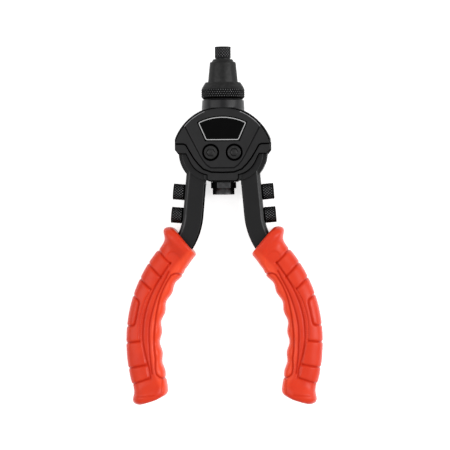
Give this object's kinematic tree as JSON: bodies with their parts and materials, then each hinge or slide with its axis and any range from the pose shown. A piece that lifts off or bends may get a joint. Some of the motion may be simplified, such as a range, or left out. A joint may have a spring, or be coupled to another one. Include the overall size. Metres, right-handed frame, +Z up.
{
  "type": "lever hand riveter",
  "caption": "Two-handled lever riveter: black head with knurled nose, forked handle hubs that pull a rod with gripping jaws, spare nosepieces in the handles and red moulded grips.",
  "frame": {"origin": "under the middle of the tool's box, on the surface that it lies on", "axes": "+Y towards the nose, +X to the right seen from the front cover, +Z up out of the front cover"},
  "size_m": [0.1504, 0.2754, 0.034],
  "materials": {
    "cast_black": "black powder coat on a die-cast aluminium head, satin",
    "cover_plastic": "black glass-filled nylon, moulded, satin",
    "label_gloss": "glossy black label with a silver border, no lettering",
    "black_screw_steel": "black zinc on socket screws and nuts",
    "black_oxide_steel": "black oxide on turned steel, satin",
    "arm_steel": "black powder coat on forged steel, satin",
    "plain_steel": "turned and ground steel, lightly oiled",
    "bronze": "sintered bronze bush",
    "black_rubber": "black sealing washer",
    "grip_plastic": "red-orange soft PVC grip, moulded, satin"
  },
  "bodies": {
    "frame": {"frame_head": "cast_black", "front_cover": "cover_plastic", "rear_cover": "cover_plastic", "label_plate": "label_gloss", "pivot_bolts": "black_screw_steel", "pivot_nuts": "black_screw_steel", "thrust_washers": "plain_steel", "knurled_ring": "black_oxide_steel", "nose_sleeve": "black_oxide_steel", "nosepiece": "black_oxide_steel", "rear_plug": "black_oxide_steel", "plug_washer": "black_rubber"},
    "right_handle": {"right_arm": "arm_steel", "right_bushes": "bronze", "right_grip": "grip_plastic", "spare_nosepiece_4_0": "black_oxide_steel", "spare_nosepiece_6_4": "black_oxide_steel"},
    "left_handle": {"left_arm": "arm_steel", "left_bushes": "bronze", "left_grip": "grip_plastic", "spare_nosepiece_2_4": "black_oxide_steel", "spare_nosepiece_3_2": "black_oxide_steel"},
    "pull": {"pull_rod": "plain_steel", "pull_yoke": "plain_steel", "yoke_nut": "plain_steel", "drive_pins": "plain_steel", "jaw_case": "plain_steel", "jaw_spring": "plain_steel"},
    "pusher": {"jaw_pusher": "plain_steel"},
    "jaw_a": {"jaw_1": "plain_steel"},
    "jaw_b": {"jaw_2": "plain_steel"},
    "jaw_c": {"jaw_3": "plain_steel"}
  },
  "joints": [
    {"name": "right_swing", "type": "hinge", "parent": "frame", "child": "right_handle", "pos_m": [0.009, 0.05589, 0.017], "axis": [0, 0, 1], "range_deg": [-2.5, 50]},
    {"name": "left_swing", "type": "hinge", "parent": "frame", "child": "left_handle", "pos_m": [-0.009, 0.05589, 0.017], "axis": [0, 0, -1], "range_deg": [-2.5, 50]},
    {"name": "pull_slide", "type": "slide", "parent": "frame", "child": "pull", "axis": [0, 1, 0], "range_m": [-0.00058, 0.01157]},
    {"name": "pusher_slide", "type": "slide", "parent": "pull", "child": "pusher", "axis": [0, -1, 0], "range_m": [0, 0.0012], "stiffness_N_per_m": 400, "deforming": ["jaw_spring"]},
    {"name": "jaw_a_slide", "type": "slide", "parent": "pull", "child": "jaw_a", "axis": [0.1908, -0.9816, 0], "range_m": [0, 0.00123]},
    {"name": "jaw_b_slide", "type": "slide", "parent": "pull", "child": "jaw_b", "axis": [-0.0954, -0.9816, -0.1652], "range_m": [0, 0.00123]},
    {"name": "jaw_c_slide", "type": "slide", "parent": "pull", "child": "jaw_c", "axis": [-0.0954, -0.9816, 0.1652], "range_m": [0, 0.00123]}
  ],
  "couplings": [
    {"joint": "left_swing", "follows": "right_swing", "ratio": 1},
    {"joint": "pull_slide", "follows": "right_swing", "m_per_rad": 0.01325},
    {"joint": "jaw_a_slide", "follows": "pusher_slide", "ratio": 1.0187},
    {"joint": "jaw_b_slide", "follows": "pusher_slide", "ratio": 1.0187},
    {"joint": "jaw_c_slide", "follows": "pusher_slide", "ratio": 1.0187}
  ]
}
